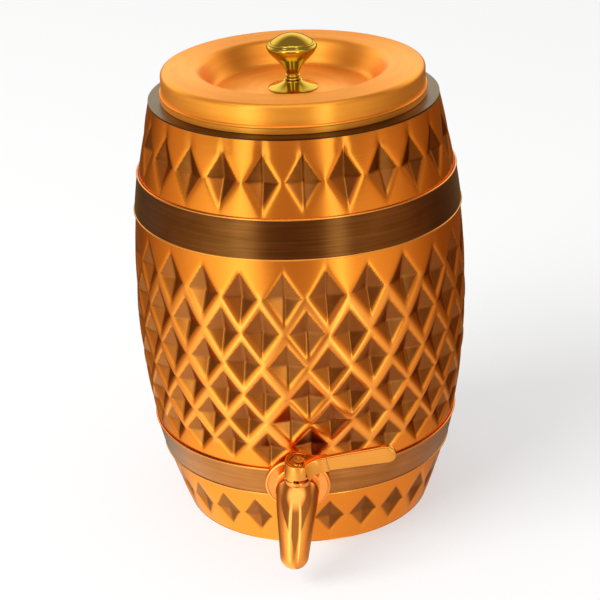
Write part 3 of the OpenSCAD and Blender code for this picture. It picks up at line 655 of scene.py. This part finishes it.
# %% Neck ring
flange_z, neck_t, collar_mid, collar_top, lip_foot, lip_top = 245.5, 1.0, 71.5, 257.0, 239.0, 245.4
flange_path = rounded([(collar_mid, collar_top), (collar_mid, flange_z), (rim_r, flange_z)], [0, 1.5, 0])
lip = float(barrel_r(shell_h, -wall)) - 0.05
lip_loop = [(lip - neck_t, lip_foot), (lip, lip_foot), (lip, lip_top), (lip - neck_t, lip_top)]
flange_mesh = turned(thicken(flange_path, neck_t), 240, True)
lip_mesh = turned(lip_loop, 240, True)
verts, faces = joined((*flange_mesh, HERE), (*lip_mesh, HERE))
# The neck ring's dark finish is painted shade for the shadow under the lid.
piece("neck_collar", verts, faces, shaded_neck_copper, "vessel", ["neck_ring"])

# %% [markdown]
# The lid is one sheet: a flat floor, a sloping well, a flat ring, a rounded edge and an upright skirt.
# A thin hem is folded out round the skirt's foot, and its rolled upper edge shows as a fine bright line.

# %% Lid
hole_r, well_r, ring_r, skirt_r = 2.1, 45.0, 52.5, 73.1
lid_foot, floor_mid, ring_mid, lid_t, longest = 246.0, 248.5, 261.5, 1.0, 3.0
lid_path = rounded([(hole_r, floor_mid), (well_r, floor_mid), (ring_r, ring_mid), (skirt_r, ring_mid),
                    (skirt_r, lid_foot)], [0, 5.0, 5.0, 2.2, 0], steps=9)
dense = []
for a, b in zip(lid_path, lid_path[1:]):
    count = max(1, int(math.dist(a, b) / longest))
    dense += [(a[0] + (b[0] - a[0]) * k / count, a[1] + (b[1] - a[1]) * k / count) for k in range(count)]
dense.append(lid_path[-1])
hem_loop = [(73.2, 246.0), (74.2, 246.0), (74.45, 246.3), (74.45, 249.2), (74.7, 249.5), (74.8, 249.9),
            (74.7, 250.3), (74.4, 250.6), (74.0, 250.6), (73.2, 250.2)]
verts, faces = joined((*turned(thicken(dense, lid_t), 288, True), HERE), (*turned(hem_loop, 288, True), HERE))
piece("lid_sheet", verts, faces, brushed_copper, "lid", ["lid_shell"])

# %% [markdown]
# The knob was turned from brass bar: a bead, a thin neck that opens like a tulip, a rounded rim with two
# fine grooves, and a dome. A bell-shaped foot spreads under it.


# %% Knob
def bow(a, b, c, steps):
    """Points on a curve from a to c that leans towards b."""
    a, b, c = Vector(a), Vector(b), Vector(c)
    return [tuple(a.lerp(b, k / steps).lerp(b.lerp(c, k / steps), k / steps)) for k in range(steps + 1)]


well_floor, foot_h, knob_h, neck_r, head_r = 249.0, 4.6, 31.0, 3.8, 14.2
head_z, rim_z = knob_h - 10.8, knob_h - 5.6
knob_line = [(0, foot_h)] + bow((neck_r, foot_h), (5.4, foot_h + 0.9), (neck_r - 0.1, foot_h + 1.8), 7)
knob_line += bow((neck_r - 0.1, foot_h + 1.8), (5.2, foot_h + 2.6), (neck_r - 0.2, foot_h + 3.4), 7)
knob_line += bow((neck_r - 0.3, foot_h + 3.8), (neck_r + 1.1, head_z - 7.6), (head_r - 4.2, head_z - 2.7), 16)
knob_line += bow((head_r - 4.0, head_z - 2.5), (head_r - 1.5, head_z), (head_r - 0.4, head_z + 2.2), 10)
knob_line += bow((head_r - 0.3, head_z + 2.4), (head_r + 0.4, head_z + 3.8), (head_r - 1.0, rim_z - 0.4), 8)
knob_line += [(head_r - 1.4, rim_z - 0.3), (head_r - 1.5, rim_z), (head_r - 1.35, rim_z + 0.2)]
knob_line += [(head_r - 1.75, rim_z + 0.5), (head_r - 2.2, rim_z + 0.55), (head_r - 2.25, rim_z + 0.85)]
knob_line += bow((head_r - 2.45, rim_z + 1.1), (head_r * 0.4, knob_h), (0, knob_h), 16)
raise_knob = Matrix.Translation((0, 0, well_floor))
verts, faces = joined((*turned(knob_line, 128, False), raise_knob))
piece("knob_turning", verts, faces, polished_brass, "lid", ["lid_knob"], crease=40)
foot_line = [(hole_r, 0), (13.9, 0), (14.0, 0.2), (13.9, 0.55), (13.5, 0.8), (13.0, 0.9)]
foot_line += bow((12.7, 1.0), (7.0, 2.2), (5.1, foot_h), 14) + [(hole_r, foot_h)]
verts, faces = joined((*turned(foot_line, 128, True), raise_knob))
piece("knob_bell", verts, faces, polished_brass, "lid", ["knob_foot"], crease=40)

# %% [markdown]
# The tap has its own frame: -Y runs out along its shank, and +Z runs up its valve. It stands square to
# the barrel's sloping wall and is turned a few degrees, as it was tightened by hand.

# %% Tap frame
tap_z, tap_turn, valve_out, chamber_up = 48.5, 4.0, 15.0, 3.6
face_r = float(barrel_r(tap_z))
slope = math.asin((belly_z - tap_z) / low_arc)
tap = (Matrix.Translation((0, -face_r, tap_z)) @ Matrix.Rotation(slope, 4, "X")
       @ Matrix.Rotation(math.radians(tap_turn), 4, "Y"))
shank = tap @ Matrix.Rotation(math.radians(90), 4, "X")
valve = tap @ Matrix.Translation((0, -valve_out, 0))
print("tap leans", round(math.degrees(slope), 1), "degrees")

# %% [markdown]
# The tap's body is a ball that runs out into a beak. The beak leaves the ball forwards and bends down to its
# mouth. Its skin is a row of rings along a Bezier curve, with a radius that shrinks evenly, and that gives
# it smooth, mirror-like sides. Straight turned pieces would show a kink at the bend.


# %% The spout's skin
def dipped(degrees):
    """The direction out from the wall that dips by an angle."""
    a = math.radians(degrees)
    return Vector((0, -math.cos(a), -math.sin(a)))


ball_r, nose_r, mouth_r, bore_r, bore_deep, tiny = 12.1, 7.9, 5.2, 4.0, 14.0, 0.01
reaches, dip, knee_turn = (15.0, 12.0, 9.4), 27.0, 25.0
leave, arrive, pull, bends, spout_round = dipped(16.0), dipped(70.0), 13.0, 48, 112
ways = [dipped(dip + i * knee_turn) for i in range(3)]
down = ways[2]
ball_at = Vector((0, -valve_out, chamber_up))
nose_at = ball_at + sum((w * r for w, r in zip(ways, reaches)), Vector())
middle = interpolate_bezier(ball_at, ball_at + leave * pull, nose_at - arrive * pull, nose_at, bends)
stations = [(ball_at - leave * ball_r * math.sin(a), leave, max(ball_r * math.cos(a), tiny))
            for a in np.linspace(math.pi / 2, 0, 18)]
for i in range(1, bends - 1):
    way = (middle[i + 1] - middle[i - 1]).normalized()
    stations.append((middle[i], way, ball_r + (nose_r - ball_r) * i / (bends - 1)))
last = math.acos(mouth_r / nose_r)
stations += [(nose_at + down * nose_r * math.sin(a), down, nose_r * math.cos(a))
             for a in np.linspace(0.18, last, 12)]
mouth = nose_at + down * nose_r * math.sin(last)
mouth_steps = [(0.05, mouth_r - 0.4), (0.0, bore_r + 0.3), (-0.4, bore_r)]
mouth_steps += [(-bore_deep, bore_r), (-bore_deep, tiny)]
stations += [(mouth + down * on, down, r) for on, r in mouth_steps]
across = Vector((1, 0, 0))
spout_verts = []
for centre, way, r in stations:
    over = way.cross(across)
    for k in range(spout_round):
        a = 2 * math.pi * k / spout_round
        spout_verts.append(centre + r * (math.cos(a) * across + math.sin(a) * over))
spout_faces = skin(len(stations), spout_round)
print("spout's mouth over the floor:", round((tap @ mouth).z, 1), "mm")

# %% [markdown]
# The rest of the casting is turned on its own axes: the collar in front of the plate and the threaded shank
# behind it on the shank's axis, and the valve's neck and its closed foot on the valve's. The shank's thread is
# drawn as rings, because its turns don't show.

# %% Tap body
flange_face, shank_end, thread_pitch, thread_rings = 5.05, -15.1, 1.65, 12
collar_end = valve_out - 3.0
collar = [(0, flange_face), (12.4, flange_face), (11.5, flange_face + 0.4), (10.9, flange_face + 1.2)]
collar += [(10.9, collar_end), (0, collar_end)]
neck = [(7.5, 6.0), (7.5, 15.6), (7.1, 16.0), (5.05, 16.0), (5.05, 6.0)]
under = [(0, -9.1), (5.7, -9.1), (6.4, -8.85), (6.65, -8.3), (6.65, -2.0), (0, -2.0)]
thread = [(0, shank_end), (7.4, shank_end)]
for k in range(thread_rings):
    at = shank_end + 0.3 + k * thread_pitch
    thread += [(7.5, at), (8.0, at + 0.4), (8.0, at + 0.8), (7.5, at + 1.2)]
thread += [(8.0, flange_face), (0, flange_face)]
verts, faces = joined((spout_verts, spout_faces, tap), (*turned(collar, 96, False), shank),
                      (*turned(neck, 96, True), valve), (*turned(under, 96, False), valve),
                      (*turned(thread, 96, False), shank))
piece("tap_casting", verts, faces, tap_brass, "vessel", ["tap_body"])

# %% [markdown]
# A round plate behind the tap covers the seal. Its rim is rounded, with a fine turned line inside it.

# %% Tap plate
seal_face, plate_bore, plate_r = 2.25, 8.05, 18.25
plate_top = seal_face + 2.8
plate = [(plate_bore, seal_face), (18.1, seal_face), (plate_r, seal_face + 0.3), (plate_r, seal_face + 1.7)]
plate += [(18.05, seal_face + 2.3), (17.5, seal_face + 2.7), (17.0, seal_face + 2.75)]
plate += [(16.75, seal_face + 2.5), (16.5, seal_face + 2.75), (12.0, plate_top), (plate_bore, plate_top)]
verts, faces = joined((*turned(plate, 144, True), shank))
piece("tap_plate", verts, faces, tap_brass, "vessel", ["tap_flange"])

# %% [markdown]
# The lever is a casting: a round hub with a sunk top, and an arm that leaves it in a flared neck and
# ends in a flat grip. The arm is lofted through rounded oblong sections, which gives the flare, the step
# where the grip begins, soft edges and a round tip in one skin.

# %% Lever arm
hub_base, hub_h, hub_r, arm_rise = 16.4, 11.0, 7.5, 15.0
root_tall, tip_tall, tip_r, tip_at, grip_at, flare_at, grip_half = 8.6, 11.2, 5.6, 48.9, 17.0, 14.0, 1.4


def arm_section(x):
    """Half height and half thickness of the arm at a distance from the valve."""
    tall = (root_tall + (tip_tall - root_tall) * min(x, tip_at) / tip_at) / 2
    thick = grip_half
    if x < grip_at:
        step = min(1.0, (grip_at - x) / 0.7)
        tall += 0.3 * step
        thick += 0.6 * step
    if x < flare_at:
        thick += 4.6 * ((flare_at - x) / 9.0) ** 2
    if x > tip_at:
        past = (x - tip_at) / tip_r
        tall = math.sqrt(max(tip_r ** 2 - (x - tip_at) ** 2, 0.04))
        thick = grip_half * math.sqrt(max(1 - past ** 6, 0.05))
    return tall, thick


def oblong(tall, thick, soft=0.75, steps=4):
    """A rounded oblong section as (y, z) points."""
    soft = min(soft, tall * 0.9, thick * 0.9)
    loop = []
    for sy, sz, first in ((1, 1, 0), (-1, 1, 90), (-1, -1, 180), (1, -1, 270)):
        for k in range(steps + 1):
            a = math.radians(first + 90 * k / steps)
            loop.append((sy * (thick - soft) + soft * math.cos(a), sz * (tall - soft) + soft * math.sin(a)))
    return loop


arm_x = list(np.linspace(5.0, 16.2, 15)) + [16.5, 16.8, grip_at, 17.2] + list(np.linspace(19.0, tip_at, 12))
arm_x += [tip_at + tip_r * math.sin(a) for a in np.linspace(0.12, 1.5, 12)]
arm_verts = []
for x in arm_x:
    arm_verts += [(x, y, z) for y, z in oblong(*arm_section(x))]
around = len(arm_verts) // len(arm_x)
arm_faces = skin(len(arm_x), around)
arm_faces.append(list(range(around))[::-1])
arm_faces.append([(len(arm_x) - 1) * around + k for k in range(around)])
arm = (valve @ Matrix.Translation((0, 0, hub_base + hub_h / 2))
       @ Matrix.Rotation(math.radians(-arm_rise), 4, "Y"))
print("arm:", len(arm_x), "sections of", around, "points")

# %% [markdown]
# The hub is turned. Under it, a slot leaves room for the stop pin through the quarter turn, so the points of
# its foot that lie in the slot are moved up.

# %% Lever hub
hub_top, recess_r, recess_h, screw_r, square_r, square_top = hub_base + hub_h, 5.0, 2.6, 1.6, 3.4, 5.6
slot_from, slot_to, slot_h = -105.0, 15.0, 2.0
hub = [(screw_r, hub_base + square_top), (square_r, hub_base + square_top), (square_r, hub_base)]
hub += [(recess_r, hub_base), (hub_r - 0.3, hub_base), (hub_r, hub_base + 0.3), (hub_r, hub_top - 1.0)]
hub += [(hub_r - 0.25, hub_top - 0.35), (hub_r - 0.8, hub_top - 0.05), (6.2, hub_top), (5.5, hub_top)]
hub += [(5.15, hub_top - 0.2), (recess_r, hub_top - 0.6), (recess_r, hub_top - recess_h)]
hub += [(screw_r, hub_top - recess_h)]
hub_verts, hub_faces = turned(hub, 120, True)
slotted = []
for x, y, z in hub_verts:
    angle = math.degrees(math.atan2(y, x))
    at_foot = math.hypot(x, y) > recess_r - 0.1 and z < hub_base + slot_h / 2
    in_slot = at_foot and slot_from <= angle <= slot_to
    slotted.append((x, y, hub_base + slot_h if in_slot else z))
verts, faces = joined((arm_verts, arm_faces, arm), (slotted, hub_faces, valve))
piece("lever_casting", verts, faces, lever_brass, "lever", ["tap_lever"], crease=35)

# %% [markdown]
# The other nodes keep their own solids: their shapes are right, and they only need their finishes.

# %% Finishes for the remaining nodes
finishes = {
    "base_plate": rolled_copper, "knob_screw": bright_steel, "knob_washer": bright_steel,
    "outer_seal": black_rubber, "inner_seal": black_rubber, "back_washer": bright_steel,
    "back_nut": turned_brass, "gland_nut": turned_brass, "thrust_washer": white_ptfe,
    "tap_plug": turned_brass, "plug_o_rings": black_rubber, "stop_pin": black_steel,
    "lever_washer": screw_brass, "lever_screw": screw_brass,
}
for node, material in finishes.items():
    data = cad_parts[node].data
    data.materials.clear()
    data.materials.append(material)
print("finished nodes:", len(finishes))

# %% [markdown]
# The set: a pale floor that is bright all over, as paper on a lit table is, with a soft shadow to the right.
# It is so wide that its far edge never shows. The paper glows a little by itself, which keeps its tone even,
# and it is left out of reflections, because the metal mirrors a room of its own.

# %% Floor
half, fibre_mm = 20.0, 2.0
floor_mesh = bpy.data.meshes.new("floor")
floor_mesh.from_pydata([(-half, -half, 0), (half, -half, 0), (half, half, 0), (-half, half, 0)], [],
                       [(0, 1, 2, 3)])
floor = bpy.data.objects.new("floor", floor_mesh)
bpy.context.scene.collection.objects.link(floor)
floor.visible_glossy = False
paper, tree, out = new_material("white_paper")
place = put(tree, "ShaderNodeTexCoord").outputs["Object"]
fibre = put(tree, "ShaderNodeTexNoise", {"Vector": place, "Scale": 1 / (fibre_mm * MM)}).outputs["Fac"]
colour = put(tree, "ShaderNodeMix", {0: fibre, 6: linear("#b0b0b0"), 7: linear("#b6b6b6")}, data_type="RGBA")
shader = put(tree, "ShaderNodeBsdfPrincipled", {
    "Base Color": colour.outputs[2],
    "Roughness": 0.9,
    "Specular IOR Level": 0.1,
    "Emission Color": (1.0, 1.0, 1.0, 1.0),
    "Emission Strength": 0.5,
})
tree.links.new(shader.outputs[0], out.inputs[0])
floor_mesh.materials.append(paper)
print("floor:", 2 * half, "m wide")

# %% [markdown]
# Metal shows what is round it, so the room matters as much as the lamps. The mirrored room is painted in
# layers, and each layer's light is a ramp over the azimuth, where 0 is the front and 90 the right.
# table is the lit table low down: bright on the left, bright in a narrow strip right of the camera, and dark
# behind on the right, in the dispenser's own shadow. close_by is the table next to the dispenser. streaks is
# the dim room over the horizon, with the same two lamps as tall streaks. notch says how far the dim room
# reaches down in front, where the camera stands.
# Dim light is warm and bright light is white, as in a room with lamps, and each ramp has its share of that.

# %% The room's lights
world = bpy.data.worlds.new("room")
bpy.context.scene.world = world
world.use_nodes = True
tree = world.node_tree
tree.nodes.clear()
look = put(tree, "ShaderNodeTexCoord").outputs["Generated"]
parts = put(tree, "ShaderNodeSeparateXYZ", {0: look})
front_back, height = parts.outputs[1], parts.outputs[2]
turned_look = put(tree, "ShaderNodeMapping", {0: look, 2: (0.0, 0.0, math.radians(90))}).outputs[0]
azimuth = put(tree, "ShaderNodeTexGradient", {0: turned_look}, gradient_type="RADIAL").outputs["Fac"]
ramps = {
    "table": (1.0, [(-136, 0.2), (-86, 0.78), (-52, 1.4), (-37, 1.9), (-23, 1.25), (-9, 0.7), (16, 1.0),
                    (24, 1.4), (31, 2.1), (38, 1.1), (60, 0.92), (94, 0.46), (116, 0.24), (145, 0.2)]),
    "close_by": (0.5, [(-100, 1.45), (-34, 1.4), (4, 0.95), (30, 0.92), (70, 0.85), (130, 0.75)]),
    "streaks": (0.6, [(-60, 0.3), (-46, 0.45), (-38, 1.9), (-29, 1.8), (-21, 0.45), (20, 0.5),
                      (26, 1.8), (32, 1.9), (39, 0.45), (90, 0.3)]),
    "notch": (0.0, [(-60, 1.0), (-20, 0.55), (2, 0.0), (24, 0.55), (64, 1.0)]),
}
lights = {}
for name, (warm, stops) in ramps.items():
    ramp = put(tree, "ShaderNodeValToRGB", {0: azimuth})
    elements = ramp.color_ramp.elements
    while len(elements) < len(stops):
        elements.new(0.5)
    for element, (degrees, light) in zip(elements, stops):
        element.position = 0.5 + degrees / 360
        green, blue = 1 - warm * (0.48 - 0.45 * light), 1 - warm * (0.85 - 0.5 * light)
        element.color = (light, light * green, light * blue, 1.0)
    lights[name] = ramp.outputs["Color"]
print("ramps:", ", ".join(lights))

# %% [markdown]
# The layers are then put together by height, where 0 is the horizon and 1 straight up. One more lamp hangs
# high in front, and a pale wall behind the dispenser lights the lid's flat top. Only mirrored rays see this
# room; all others see an even white sky, which lights the floor.

# %% Room
high_lamp, pale_wall, white = (1.9, 1.75, 1.4, 1.0), (1.4, 1.34, 1.0, 1.0), (1.0, 1.0, 1.0, 1.0)
near = put(tree, "ShaderNodeMapRange", {0: height, 1: -0.7, 2: -0.45, 3: 1.0, 4: 0.0}).outputs[0]
lower = put(tree, "ShaderNodeMix", {0: near, 6: lights["table"], 7: lights["close_by"]}, data_type="RGBA")
in_front = put(tree, "ShaderNodeMapRange", {0: front_back, 1: -0.1, 2: -0.35}).outputs[0]
overhead = put(tree, "ShaderNodeMapRange", {0: height, 1: 0.5, 2: 0.75}).outputs[0]
lamp_at = put(tree, "ShaderNodeMath", {0: in_front, 1: overhead}, operation="MULTIPLY").outputs[0]
upper = put(tree, "ShaderNodeMix", {0: lamp_at, 6: lights["streaks"], 7: high_lamp}, data_type="RGBA")
edge = put(tree, "ShaderNodeMapRange", {0: lights["notch"], 3: -0.44, 4: 0.06}).outputs[0]
over_edge = put(tree, "ShaderNodeMath", {0: height, 1: edge}, operation="SUBTRACT").outputs[0]
horizon = put(tree, "ShaderNodeMapRange", {0: over_edge, 1: -0.03, 2: 0.04}).outputs[0]
walls = put(tree, "ShaderNodeMix", {0: horizon, 6: lower.outputs[2], 7: upper.outputs[2]}, data_type="RGBA")
behind = put(tree, "ShaderNodeMapRange", {0: front_back, 1: 0.1, 2: 0.6}).outputs[0]
raised = put(tree, "ShaderNodeMapRange", {0: height, 1: 0.0, 2: 0.25}).outputs[0]
lowered = put(tree, "ShaderNodeMapRange", {0: height, 1: 0.5, 2: 0.8, 3: 1.0, 4: 0.0}).outputs[0]
strip = put(tree, "ShaderNodeMath", {0: raised, 1: lowered}, operation="MULTIPLY").outputs[0]
back_wall = put(tree, "ShaderNodeMath", {0: behind, 1: strip}, operation="MULTIPLY").outputs[0]
glow = put(tree, "ShaderNodeMix", {0: back_wall, 6: walls.outputs[2], 7: pale_wall}, data_type="RGBA")
mirrored = put(tree, "ShaderNodeBackground", {"Color": glow.outputs[2], "Strength": 1.0})
even = put(tree, "ShaderNodeBackground", {"Color": white, "Strength": 0.6})
mirror_ray = put(tree, "ShaderNodeLightPath").outputs["Is Glossy Ray"]
sky = put(tree, "ShaderNodeMixShader", {0: mirror_ray, 1: even.outputs[0], 2: mirrored.outputs[0]})
put(tree, "ShaderNodeOutputWorld", {0: sky.outputs[0]})
print("room painted, nodes:", len(tree.nodes))

# %% [markdown]
# One large soft lamp in front on the left gives the floor its shadow. It hangs far off, so that the floor is
# lit evenly. It is left out of reflections, so that it puts no glare on the metal.

# %% Key lamp
aim = Vector((0, 0, 0.14))
key_data = bpy.data.lights.new("key_from_left", "AREA")
key_data.shape, key_data.size, key_data.size_y, key_data.energy = "RECTANGLE", 2.8, 2.4, 156
key = bpy.data.objects.new("key_from_left", key_data)
key.location = (-2.4, -1.9, 2.16)
key.rotation_mode = "QUATERNION"
key.rotation_quaternion = (key.location - aim).to_track_quat("Z", "Y")
key.visible_glossy = False
bpy.context.scene.collection.objects.link(key)
print("key lamp:", key_data.energy, "W")

# %% [markdown]
# The camera stands where the photograph was taken from: a little right of the tap, looking down, with a long
# lens. Its place and its slight roll were fitted to the barrel's rims and hoops.

# %% Camera
turn, pitch, yaw, roll = (math.radians(v) for v in (3.8, 23.26, -0.05, -2.265))
far, high, lens = 1057.7, 574.7, 118.71
side = Vector((math.cos(yaw), -math.sin(yaw), 0))
ahead = Vector((math.cos(pitch) * math.sin(yaw), math.cos(pitch) * math.cos(yaw), -math.sin(pitch)))
over = Vector((math.sin(pitch) * math.sin(yaw), math.sin(pitch) * math.cos(yaw), math.cos(pitch)))
right = math.cos(roll) * side + math.sin(roll) * over
up = -math.sin(roll) * side + math.cos(roll) * over
axes = Matrix((right, up, -ahead)).transposed().to_4x4()
swing = Matrix.Rotation(turn, 4, "Z")
data = bpy.data.cameras.new("camera")
data.lens, data.sensor_width, data.clip_start, data.clip_end = lens, 36.0, 0.05, 20.0
camera = bpy.data.objects.new("camera", data)
camera.matrix_world = swing @ Matrix.Translation((0, -far * MM, high * MM)) @ axes
bpy.context.scene.collection.objects.link(camera)
bpy.context.scene.camera = camera
bpy.context.scene.view_settings.view_transform = "Standard"
print("camera at", [round(c, 3) for c in camera.matrix_world.translation])
